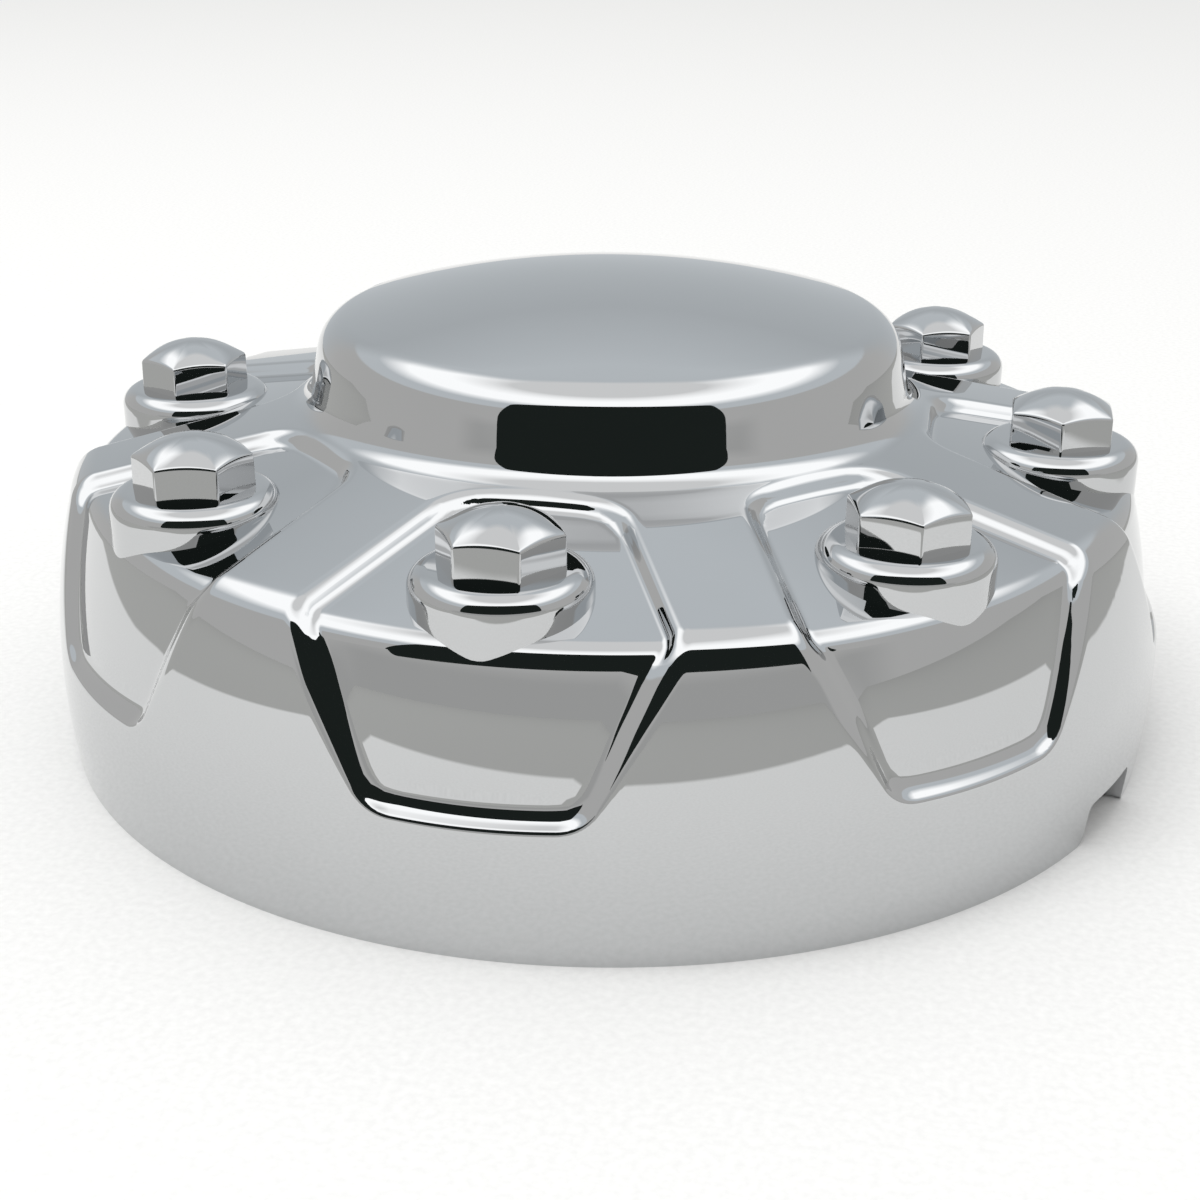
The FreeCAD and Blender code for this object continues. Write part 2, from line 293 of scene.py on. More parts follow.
class Window:
    """A shield-shaped window on -Y, sunk into the turned form.

    Its sides are planes through a focus under the shoulder, so the window is six-sided with a waist
    at the shoulder. A distance beyond a side is the product of its normal and the ray from the focus.
    The runs are how far a wall reaches for each unit of its depth: the least on the deck, along the
    lower edge and at the skirt's sides, and the most anywhere.
    """

    TOP_ROUND = mm(14.0)
    WAIST_ROUND = mm(4.0)
    BOTTOM_ROUND = mm(9.0)
    DECK_RUN, LOW_RUN, SKIRT_RUN, MOST_RUN = 0.4, 0.84, 1.4, 1.6

    def __init__(self, sizes):
        self.sizes = sizes
        top_half = sizes.top_width / 2
        waist_half = sizes.waist_width / 2
        bottom_half = sizes.bottom_width / 2
        drop = sizes.shoulder_radius - math.hypot(sizes.window_top, top_half)
        top_height = sizes.shoulder_height + drop * math.tan(sizes.deck_slope)
        waist_out = math.sqrt(sizes.shoulder_radius ** 2 - waist_half ** 2)
        bottom_out = math.sqrt(sizes.rim_radius ** 2 - bottom_half ** 2)
        self.focus = np.array([0.0, -sizes.focus_radius, sizes.focus_height])
        top, waist, bottom = np.array([
            [top_half, -sizes.window_top, top_height],
            [waist_half, -waist_out, sizes.shoulder_height],
            [bottom_half, -bottom_out, sizes.window_bottom],
        ]) - self.focus
        middle = waist * [0.0, 1.0, 1.0]
        across = np.array([1.0, 0.0, 0.0])
        self.top = self.plane(top, across, middle)
        self.deck_side = self.plane(top, waist, middle)
        self.skirt_side = self.plane(waist, bottom, middle)
        self.bottom = self.plane(bottom, across, middle)

    def plane(self, first, second, inside):
        """Unit normal of the plane of two rays, pointing away from a third ray."""
        normal = np.cross(first, second)
        return normal * -np.sign(normal @ inside) / np.linalg.norm(normal)

    def ray(self, points):
        """Rays from the focus, with the left half folded onto the right."""
        return (points - self.focus) * np.where(points[..., :1] < 0, [-1.0, 1.0, 1.0], 1.0)

    def sides(self, points):
        """Distance beyond the nearer of the two slanting sides, which meet in a rounded waist."""
        ray = self.ray(points)
        lean = self.deck_side @ self.skirt_side
        return -blunt_max(-(ray @ self.deck_side), -(ray @ self.skirt_side), lean, self.WAIST_ROUND)

    def beyond(self, points):
        """Distance of points beyond the rounded outline, negative inside."""
        ray = self.ray(points)
        side = self.sides(points)
        head = blunt_max(ray @ self.top, side, self.top @ self.deck_side, self.TOP_ROUND)
        foot = blunt_max(ray @ self.bottom, side, self.bottom @ self.skirt_side, self.BOTTOM_ROUND)
        return np.maximum(head, foot)

    def sunk(self, points, normals):
        """Depth of the window under points of the turned form.

        The distance to the outline is the chart distance over the steepness of the chart distance
        on the surface. The wall's slope is the tangent between the ray from the focus and the
        surface, held to a least run that grows down the skirt. Across the wall the depth follows a
        rounded lip, the brow, then a slope and a hollow round, the toe.
        """
        sizes, depth = self.sizes, self.sizes.window_depth
        step = mm(0.02)
        rise = np.stack([
            (self.beyond(points + shift) - self.beyond(points - shift)) / (2 * step)
            for shift in np.eye(3) * step
        ], -1)
        rise -= normals * np.sum(rise * normals, -1, keepdims=True)
        steep = np.maximum(np.linalg.norm(rise, axis=-1), 1e-6)
        ray = points - self.focus
        run = np.sum(ray * rise, -1) / steep / np.maximum(np.sum(ray * normals, -1), mm(1.0))
        height, shoulder, bottom = points[..., 2], sizes.shoulder_height, sizes.window_bottom
        drop = progress(height, shoulder + mm(2.0), shoulder - mm(6.0))
        ease = progress(height, bottom + mm(2.0), bottom + mm(16.0))
        least = mix(self.DECK_RUN, mix(self.LOW_RUN, self.SKIRT_RUN, ease), drop)
        slope = np.arctan2(1.0, np.clip(run, least, self.MOST_RUN))
        brow = mix(sizes.low_brow_round, mix(sizes.brow_round, sizes.skirt_brow_round, drop), ease)
        toe = mix(sizes.low_toe_round, sizes.toe_round, ease)
        brow = np.minimum(brow, depth / (1 - np.cos(slope)) - toe)
        inward = brow * np.tan(slope / 2) - self.beyond(points) / steep
        lip_end = brow * np.sin(slope)
        straight = (depth - (brow + toe) * (1 - np.cos(slope))) / np.tan(slope)
        wall_end = lip_end + straight
        toe_run = toe * np.sin(slope)
        lip = brow - np.sqrt(brow ** 2 - np.clip(inward, 0.0, lip_end) ** 2)
        wall = np.clip(inward - lip_end, 0.0, straight) * np.tan(slope)
        left = np.clip(wall_end + toe_run - inward, 0.0, toe_run)
        return lip + wall + np.sqrt(toe ** 2 - left ** 2) - toe * np.cos(slope)


# Meshes


def bisect(function, low, high, steps=40):
    """Where an array function that rises from negative to positive crosses zero."""
    for _ in range(steps):
        middle = (low + high) / 2
        above = function(middle) > 0
        low, high = np.where(above, low, middle), np.where(above, middle, high)
    return (low + high) / 2


def polar(radius, angle, height):
    """Points from radius, bearing and height."""
    return np.stack([radius * np.sin(angle), -radius * np.cos(angle), height + 0 * radius * angle], -1)


def grid_quads(rows, columns):
    """Quads of a grid whose columns close on themselves, wound to face outwards."""
    index = np.arange(rows * columns).reshape(rows, columns)
    after = np.roll(index, -1, 1)
    return np.stack([index[:-1], index[1:], after[1:], after[:-1]], -1).reshape(-1, 4)


def fan(centre, ring):
    """Triangles from a centre vertex to a closed ring."""
    return np.stack([np.full(len(ring), centre), ring, np.roll(ring, -1)], -1)


def closed_skin(points):
    """Vertices and faces of a grid whose first and last rows shrink to single points."""
    first, last = points[0].mean(0), points[-1].mean(0)
    body = points[1:-1]
    rows, columns = body.shape[:2]
    vertices = np.vstack([body.reshape(-1, 3), first, last])
    count = rows * columns
    top_ring = np.arange(columns)
    bottom_ring = count - columns + top_ring
    faces = grid_quads(rows, columns).tolist()
    faces += fan(count, top_ring).tolist()
    faces += fan(count + 1, bottom_ring[::-1]).tolist()
    return vertices, faces


def add_piece(name, skins, materials):
    """One smooth mesh object at the origin from a list of vertices and faces."""
    vertices, faces, start = [], [], 0
    for points, polygons in skins:
        vertices.append(points)
        faces += [[start + corner for corner in polygon] for polygon in polygons]
        start += len(points)
    mesh = bpy.data.meshes.new(name)
    mesh.from_pydata(np.vstack(vertices).tolist(), [], faces)
    mesh.shade_smooth()
    mesh.set_sharp_from_angle(angle=math.radians(38.0))
    for material in materials:
        mesh.materials.append(material)
    mesh.validate()
    piece = bpy.data.objects.new(name, mesh)
    bpy.context.scene.collection.objects.link(piece)
    return piece


def dress(piece):
    """Ties a piece to the cap's body."""
    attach(piece, BODY)
    return piece


# Shell


class ShellGrid:
    """Rows and columns of the shell, packed closely along every window's wall.

    A column keeps its place between a nut's middle, the window's side and the middle of the land.
    A row keeps its place between the window's top and bottom edges, the rounds and the rim.
    """

    BAND = (mm(-4.6), mm(3.2))
    TOP_BAND = (mm(-2.2), mm(4.2))
    BOTTOM_BAND = (mm(-4.2), mm(2.4))
    INNER, WALL, LAND = 0, 1, 2
    COLUMNS = (9, 22, 6)
    STEPS = (16, 12, 4, 8, 16, 16, 20, 15, 16, 10)
    NOTCH_STEPS = (-6.0, -3.0, -1.5, -1.1, -0.7, -0.3, -0.06, -0.01, 0.01, 0.2, 0.6, 1.2, 2.0)
    UNDERSIDE_SKIP = 6

    def __init__(self, sizes, outline, window):
        self.sizes, self.outline, self.window = sizes, outline, window
        self.top = self.edge_along(-self.window.top, "foot", "deck", np.zeros(1))[0]
        self.bottom = self.edge_along(self.window.bottom, "skirt", "skirt", np.zeros(1))[0]
        self.table = np.linspace(self.top, self.bottom, 400)
        start = np.zeros_like(self.table)
        self.side_table = bisect(self.beyond_side, start, start + PITCH / 2)
        self.nut, self.turn, self.region, self.place = self.columns()
        self.along = self.rows()
        self.local = self.turn * self.angle(self.along)
        self.bearing = self.nut * PITCH + self.local

    def surface(self, angle, along):
        """Points and outward normals of the plain turned form."""
        radius, height, outward, upward = self.outline.at(along)
        return polar(radius, angle, height), polar(outward, angle, upward)

    def edge_along(self, plane, first, last, angle):
        """Distance along the outline where a window's top or bottom plane crosses it at bearings."""
        low = angle * 0 + self.outline.span[first][0]
        high = angle * 0 + self.outline.span[last][1]
        return bisect(lambda s: self.window.ray(self.surface(angle, s)[0]) @ plane, low, high)

    def beyond_side(self, angle):
        """Distance beyond a window's side at bearings, one for each distance in the table."""
        return self.window.sides(self.surface(angle, self.table)[0])

    def half_columns(self, extra):
        """Region and place of the columns from a nut's middle to the middle of a land."""
        inner, wall, land = self.COLUMNS
        half = [(self.INNER, place) for place in np.linspace(0.0, 1.0, inner, endpoint=False)]
        half += [(self.WALL, place) for place in np.linspace(*self.BAND, wall)]
        places = set(np.linspace(0.0, 1.0, land + 1)[1:]) | set(extra)
        return half + [(self.LAND, place) for place in sorted(places)]

    def columns(self):
        """Nut, side, region and place of every column round the ring, with more at the notch."""
        reach = self.sizes.notch_width / 2 + mm(np.array(self.NOTCH_STEPS))
        start = self.side_table[-1] + self.BAND[1] / self.outline.at(self.bottom)[0]
        extra = 1.0 - reach / self.sizes.rim_radius / (PITCH / 2 - start)
        beside = int(self.sizes.notch_bearing // PITCH)
        ring = []
        for nut in range(NUTS):
            left = self.half_columns(extra if nut == (beside + 1) % NUTS else [])
            right = self.half_columns(extra if nut == beside else [])
            ring += [(nut, -1, *column) for column in left[-2:0:-1]]
            ring += [(nut, 1, *column) for column in right]
        return np.array(ring).T

    def angle(self, along):
        """Bearing of every column from its nut's middle at distances along the outline."""
        held = np.clip(along, self.top, self.bottom)
        side = np.interp(held, self.table, self.side_table)
        radius = self.outline.at(held)[0]
        low, high = side + self.BAND[0] / radius, side + self.BAND[1] / radius
        inner = self.place * low
        wall = side + self.place / radius
        land = high + self.place * (PITCH / 2 - high)
        return np.select([self.region == self.INNER, self.region == self.WALL], [inner, wall], land)

    def rows(self):
        """Distance along the outline of every row in every column, evenly spaced between anchors."""
        ones = np.ones(len(self.nut))
        corner = np.interp([self.top, self.bottom], self.table, self.side_table)
        top_angle = np.minimum(self.angle(self.top * ones), corner[0])
        bottom_angle = np.minimum(self.angle(self.bottom * ones), corner[1])
        top = self.edge_along(-self.window.top, "foot", "deck", top_angle)
        bottom = self.edge_along(self.window.bottom, "skirt", "skirt", bottom_angle)
        span = self.outline.span
        anchors = [span[name][0] * ones for name in ("crown", "edge", "wall", "foot")]
        anchors += [top + reach for reach in self.TOP_BAND]
        anchors += [along * ones for along in span["shoulder"]]
        anchors += [bottom + reach for reach in self.BOTTOM_BAND]
        anchors.append(self.outline.at_height(self.notch_rise()))
        rows = []
        for low, high, count in zip(anchors, anchors[1:], self.STEPS):
            rows.append(low + np.arange(count)[:, None] / count * (high - low))
        return np.vstack(rows + [anchors[-1][None]])

    def notch_rise(self):
        """Height of the rim at every column: upright sides, rounded mouth corners, a level roof."""
        sizes, ease = self.sizes, self.sizes.notch_round
        rim = self.nut * PITCH + self.turn * self.angle(self.outline.total * np.ones(len(self.nut)))
        across = np.abs(rim - sizes.notch_bearing) * sizes.rim_radius - sizes.notch_width / 2
        mouth = ease - np.sqrt(ease ** 2 - np.clip(ease - across, 0.0, ease) ** 2)
        roof = np.sqrt(ease ** 2 - np.clip(ease + across, 0.0, ease) ** 2) + sizes.notch_height - ease
        return np.where(across < 0, roof, mouth)

    def skin(self):
        """The closed shell: the sunken outside down to the rim, then the inner side back to the top.

        An outside point is the turned form's point less its normal times the window's depth. An inner
        point is sunk by the wall as well, and the rim's underside is level.
        """
        points, normals = self.surface(self.local, self.along)
        below_dome = self.along > self.outline.span["foot"][0]
        depth = np.where(below_dome, self.window.sunk(points, normals), 0.0)[..., None]
        points, normals = self.surface(self.bearing, self.along)
        outside = points - normals * depth
        inside = points - normals * (depth + self.sizes.wall)
        radius, height, outward, _ = self.outline.at(self.along[-1])
        inside[-1] = polar(radius - self.sizes.wall / outward, self.bearing[-1], height)
        last = len(points) - 1
        picks = np.unique(np.append(np.arange(0, last, self.UNDERSIDE_SKIP), last))[::-1]
        return np.concatenate([outside, inside[picks]]), len(outside)


# Seats and nuts


def window_floor(outline, depth, radius):
    """Height of a window's floor at a radius: the turned outline moved inwards by the depth."""
    along = np.linspace(outline.span["deck"][0], outline.span["shoulder"][1] + mm(8.0), 400)
    point_radius, height, outward, upward = outline.at(along)
    return np.interp(radius, point_radius - depth * outward, height - depth * upward)


def seat_skin(cap, sizes, outline, bearing_angle):
    """A round seat: a level top, a quarter round, an upright wall and a foot inside the floor."""
    around = np.linspace(0.0, 2 * math.pi, 96, endpoint=False)[None, :]
    turn = np.linspace(0.0, math.pi / 2, 11)
    wide, ease = sizes.seat_radius, sizes.seat_round
    flat = wide - ease
    radius = np.concatenate([[0.0, flat / 2], flat + ease * np.sin(turn), [wide] * 6, [wide / 2, 0.0]])
    rise = np.concatenate([[0.0, 0.0], ease * (np.cos(turn) - 1), [-ease] * 8])[:, None]
    sink = np.concatenate([np.zeros(13), np.linspace(0.0, 1.0, 7)[1:], [1.0, 1.0]])[:, None]
    middle = polar(sizes.circle, np.array(bearing_angle), 0.0)
    points = polar(radius[:, None], around, 0.0) + middle
    reach = np.hypot(points[..., 0], points[..., 1])
    floor = window_floor(outline, cap.window_depth, reach) - mm(1.5)
    points[..., 2] = mix(sizes.seat_top + rise, floor, sink)
    return closed_skin(points)


def hexagon_reach(way, half_width, corner_round):
    """Distance from a hexagon's middle to its rounded outline; corners lie at whole sixths of a turn."""
    sixth = math.pi / 3
    bend = np.abs(np.mod(way, sixth) - sixth / 2)
    flat = half_width / np.cos(bend)
    base = half_width - corner_round
    side = base * math.tan(sixth / 2)
    along = base * np.cos(bend) + side * np.sin(bend)
    across = side * np.cos(bend) - base * np.sin(bend)
    rounded = along + np.sqrt(np.maximum(corner_round ** 2 - across ** 2, 0.0))
    return np.where(half_width * np.tan(bend) < side, flat, rounded)


def nut_skin(sizes, bearing_angle):
    """A crowned hexagon: a pillow-shaped crown over the rounded hexagon, an eased lip and drafted flats.

    The crown falls with the square of the radius in the middle and with the square of the share of
    the way to the hexagon's edge further out. The edge rises a little towards the middle of every
    flat. The lip is a quadratic blend from the crown through the sharp edge to the flat.
    """
    sixth = math.pi / 3
    flat = np.linspace(-0.93, 0.93, 11)
    corner = np.linspace(0.95, 1.05, 7)
    place = np.concatenate([flat, corner]) * sixth / 2 + sixth / 2
    way = (np.arange(6)[:, None] * sixth + place[None, :]).reshape(1, -1)
    edge = hexagon_reach(way, sizes.across_flats / 2, sizes.corner_round)
    lift = sizes.flat_lift * (1 - 3 * (edge / sizes.across_flats) ** 2) * 4

    def crown_height(radius):
        share = (radius / edge) ** 2
        fall = mix((radius / edge.mean()) ** 2, share, share)
        return sizes.corner_height + sizes.crown * (1 - fall) + lift * share

    lip = sizes.lip_round
    blend = np.linspace(0.0, 1.0, 7)[:, None]
    crown_radius = np.linspace(0.0, 1.0, 15)[:-1, None] * (edge - lip)
    bends = [(1 - blend) ** 2, 2 * blend * (1 - blend), blend ** 2]
    lip_radius = bends[0] * (edge - lip) + (bends[1] + bends[2]) * edge
    top = crown_height(edge)
    lip_height = bends[0] * crown_height(edge - lip) + bends[1] * top + bends[2] * (top - lip)
    low = sizes.seat_top - mm(1.0)
    drop = np.linspace(0.0, 1.0, 6)[1:, None]
    flat_height = top - lip + drop * (low - top + lip)
    flat_radius = edge + (top - lip - flat_height) * math.tan(math.radians(1.0))
    foot, base = flat_radius[-1:], flat_height[-1:]
    radius = np.vstack([crown_radius, lip_radius, flat_radius, foot / 2, foot * 0])
    height = np.vstack([crown_height(crown_radius), lip_height, flat_height, base, base])
    middle = polar(sizes.circle, np.array(bearing_angle), 0.0)
    points = polar(radius, way + bearing_angle + math.pi / 2, 0.0) + middle
    points[..., 2] = height
    return closed_skin(points)


def rib_skin(cap, outline, bearing_angle):
    """A thin plate that follows the underside: four corners carried along the turned outline."""
    low = outline.at_height(cap.rib_end)
    along = np.linspace(outline.span["deck"][0], low, 40)[:, None]
    depth = cap.wall - mm(1.0) + np.array([[0.0, 0.0, 1.0, 1.0]]) * (cap.rib_depth + mm(1.0))
    side = np.array([[-0.5, 0.5, 0.5, -0.5]]) * cap.rib_thickness
    radius, height, outward, upward = outline.at(along)
    out = radius - outward * depth
    rise = height - upward * depth
    across = np.array([math.cos(bearing_angle), math.sin(bearing_angle), 0.0])
    points = polar(out, np.array(bearing_angle), rise) + side[..., None] * across
    ends = [np.repeat(points[k].mean(0)[None, None], 4, 1) for k in (0, -1)]
    return closed_skin(np.concatenate([ends[0], points, ends[1]]))


# Finishes


def feed(tree, socket, value):
    """Gives an input a value, or a link where the value is another node's output."""
    if isinstance(value, bpy.types.NodeSocket):
        tree.links.new(value, socket)
    else:
        socket.default_value = value


def node(tree, kind, place, **values):
    """Adds a node and feeds its inputs by name."""
    made = tree.nodes.new(kind)
    made.location = place
    for name, value in values.items():
        feed(tree, made.inputs[name.replace("_", " ")], value)
    return made


def measure(tree, place, operation, *values):
    """A math node on outputs or numbers."""
    made = node(tree, "ShaderNodeMath", place)
    made.operation = operation
    for socket, value in zip(made.inputs, values):
        feed(tree, socket, value)
    return made.outputs[0]


def reach_along(tree, place, point, way):
    """Product of a point and a direction."""
    made = node(tree, "ShaderNodeVectorMath", place)
    made.operation = "DOT_PRODUCT"
    feed(tree, made.inputs[0], point)
    feed(tree, made.inputs[1], way)
    return made.outputs["Value"]


def smooth_share(tree, place, value, start, end):
    """A smooth step from 0 at the start to 1 at the end."""
    made = node(tree, "ShaderNodeMapRange", place, Value=value, From_Min=start, From_Max=end)
    made.interpolation_type = "SMOOTHSTEP"
    return made.outputs["Result"]


def blend_colours(tree, place, share, first, second):
    """A colour a share of the way from the first to the second."""
    made = node(tree, "ShaderNodeMix", place)
    made.data_type = "RGBA"
    for index, value in ((0, share), (6, first), (7, second)):
        feed(tree, made.inputs[index], value)
    return made.outputs[2]


def ramp(tree, place, share, stops):
    """A colour ramp from positions and colours."""
    made = node(tree, "ShaderNodeValToRGB", place, Fac=share)
    elements = made.color_ramp.elements
    while len(elements) < len(stops):
        elements.new(0.5)
    for element, (position, value) in zip(elements, stops):
        element.position = position
        element.color = (*value[:3], 1.0)
    return made.outputs["Color"]


def own_material(name):
    """A new material with nodes, and its node tree."""
    material = bpy.data.materials.new(name)
    material.use_nodes = True
    return material, material.node_tree


def glow_material(name, strength):
    """A new material that only glows, its node tree and the colour input of its glow."""
    material, tree = own_material(name)
    tree.nodes.clear()
    glow = node(tree, "ShaderNodeEmission", (500, 0), Strength=strength)
    node(tree, "ShaderNodeOutputMaterial", (700, 0), Surface=glow.outputs[0])
    return material, tree, glow.inputs["Color"]


def plating_group():
    """Slow ripple of the moulding, fine grain of the plating and a mask of faint dull patches."""
    group = bpy.data.node_groups.new("plating_surface", "ShaderNodeTree")
    sockets = {"INPUT": ("Ripple Scale", "Grain Scale"), "OUTPUT": ("Height", "Patches")}
    for end, names in sockets.items():
        for name in names:
            group.interface.new_socket(name, in_out=end, socket_type="NodeSocketFloat")
    scales = node(group, "NodeGroupInput", (-700, 0)).outputs
    point = node(group, "ShaderNodeTexCoord", (-700, -200)).outputs["Object"]

    def noise(height, scale, detail, roughness):
        """Noise over the piece."""
        values = {"Vector": point, "Scale": scale, "Detail": detail, "Roughness": roughness}
        return node(group, "ShaderNodeTexNoise", (-450, height), **values).outputs["Fac"]

    ripple = noise(100, scales["Ripple Scale"], 1.0, 0.4)
    grain = noise(-150, scales["Grain Scale"], 2.0, 0.5)
    patches = noise(-400, 38.0, 5.0, 0.62)
    relief = measure(group, (-200, -150), "MULTIPLY_ADD", grain, 0.06, ripple)
    node(group, "NodeGroupOutput", (50, 0), Height=relief, Patches=patches)
    return group


def plating(name, tint, roughness, bump):
    """Mirror plating: its tint and roughness vary faintly with the dull patches, and it ripples."""
    found = bpy.data.materials.get(name)
    if found:
        return found
    material, tree = own_material(name)
    surface = tree.nodes.new("ShaderNodeGroup")
    surface.node_tree = bpy.data.node_groups.get("plating_surface") or plating_group()
    surface.location = (-700, 0)
    surface.inputs["Ripple Scale"].default_value = 55.0
    surface.inputs["Grain Scale"].default_value = 900.0
    patches, height = surface.outputs["Patches"], surface.outputs["Height"]
    worn = [0.985 * value for value in tint]
    shade = ramp(tree, (-450, 200), patches, [(0.3, worn), (0.7, tint)])
    dull = node(tree, "ShaderNodeMapRange", (-450, -100), Value=patches, From_Min=0.3, From_Max=0.75)
    dull.inputs["To Min"].default_value = roughness[0]
    dull.inputs["To Max"].default_value = roughness[1]
    relief = node(tree, "ShaderNodeBump", (-250, -300), Height=height, Strength=bump, Distance=mm(0.2))
    shader = tree.nodes["Principled BSDF"]
    feed(tree, shader.inputs["Metallic"], 1.0)
    feed(tree, shader.inputs["Base Color"], shade)
    feed(tree, shader.inputs["Roughness"], dull.outputs["Result"])
    feed(tree, shader.inputs["Normal"], relief.outputs["Normal"])
    return material


def chrome(scene):
    """The bright plating of the outside."""
    return plating("bright_plating", scene.cap_colours.chrome, (0.0, 0.03), 0.008)


def dull_chrome(scene):
    """The duller flash plating of the underside."""
    tint = [0.8 * value for value in scene.cap_colours.chrome]
    return plating("underside_plating", tint, (0.22, 0.38), 0.25)


# Operators


class CENTERCAP_OT_shell(bpy.types.Operator):
    """Builds the shell with its sunken windows, notch and hollow underside"""

    bl_idname = "center_cap.shell"
    bl_label = "Shell"

    def execute(self, context):
        sizes = context.scene.cap_sizes
        outline = Outline(sizes)
        grid = ShellGrid(sizes, outline, Window(sizes))
        points, outer_rows = grid.skin()
        materials = [chrome(context.scene), dull_chrome(context.scene)]
        piece = add_piece("cap_shell", [closed_skin(points)], materials)
        columns = points.shape[1]
        slots = np.zeros(len(piece.data.polygons), dtype=np.int32)
        quads = (len(points) - 3) * columns
        slots[(outer_rows - 1) * columns:quads] = 1
        slots[quads + columns:] = 1
        piece.data.polygons.foreach_set("material_index", slots)
        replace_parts(dress(piece), NODE)
        return {"FINISHED"}


class CENTERCAP_OT_seats(bpy.types.Operator):
    """Builds the round seats in the windows"""

    bl_idname = "center_cap.seats"
    bl_label = "Seats"

    def execute(self, context):
        cap, sizes = context.scene.cap_sizes, context.scene.nut_sizes
        outline = Outline(cap)
        skins = [seat_skin(cap, sizes, outline, nut * PITCH) for nut in range(NUTS)]
        dress(add_piece("nut_seats", skins, [chrome(context.scene)]))
        return {"FINISHED"}


class CENTERCAP_OT_nuts(bpy.types.Operator):
    """Builds the imitation nuts on their seats"""

    bl_idname = "center_cap.nuts"
    bl_label = "Imitation Nuts"

    def execute(self, context):
        skins = [nut_skin(context.scene.nut_sizes, nut * PITCH) for nut in range(NUTS)]
        dress(add_piece("imitation_nuts", skins, [chrome(context.scene)]))
        return {"FINISHED"}


class CENTERCAP_OT_ribs(bpy.types.Operator):
    """Builds the stiffening ribs under the lands between the windows"""

    bl_idname = "center_cap.ribs"
    bl_label = "Underside Ribs"

    def execute(self, context):
        cap = context.scene.cap_sizes
        outline = Outline(cap)
        skins = [rib_skin(cap, outline, (nut + 0.5) * PITCH) for nut in range(NUTS)]
        dress(add_piece("underside_ribs", skins, [dull_chrome(context.scene)]))
        return {"FINISHED"}


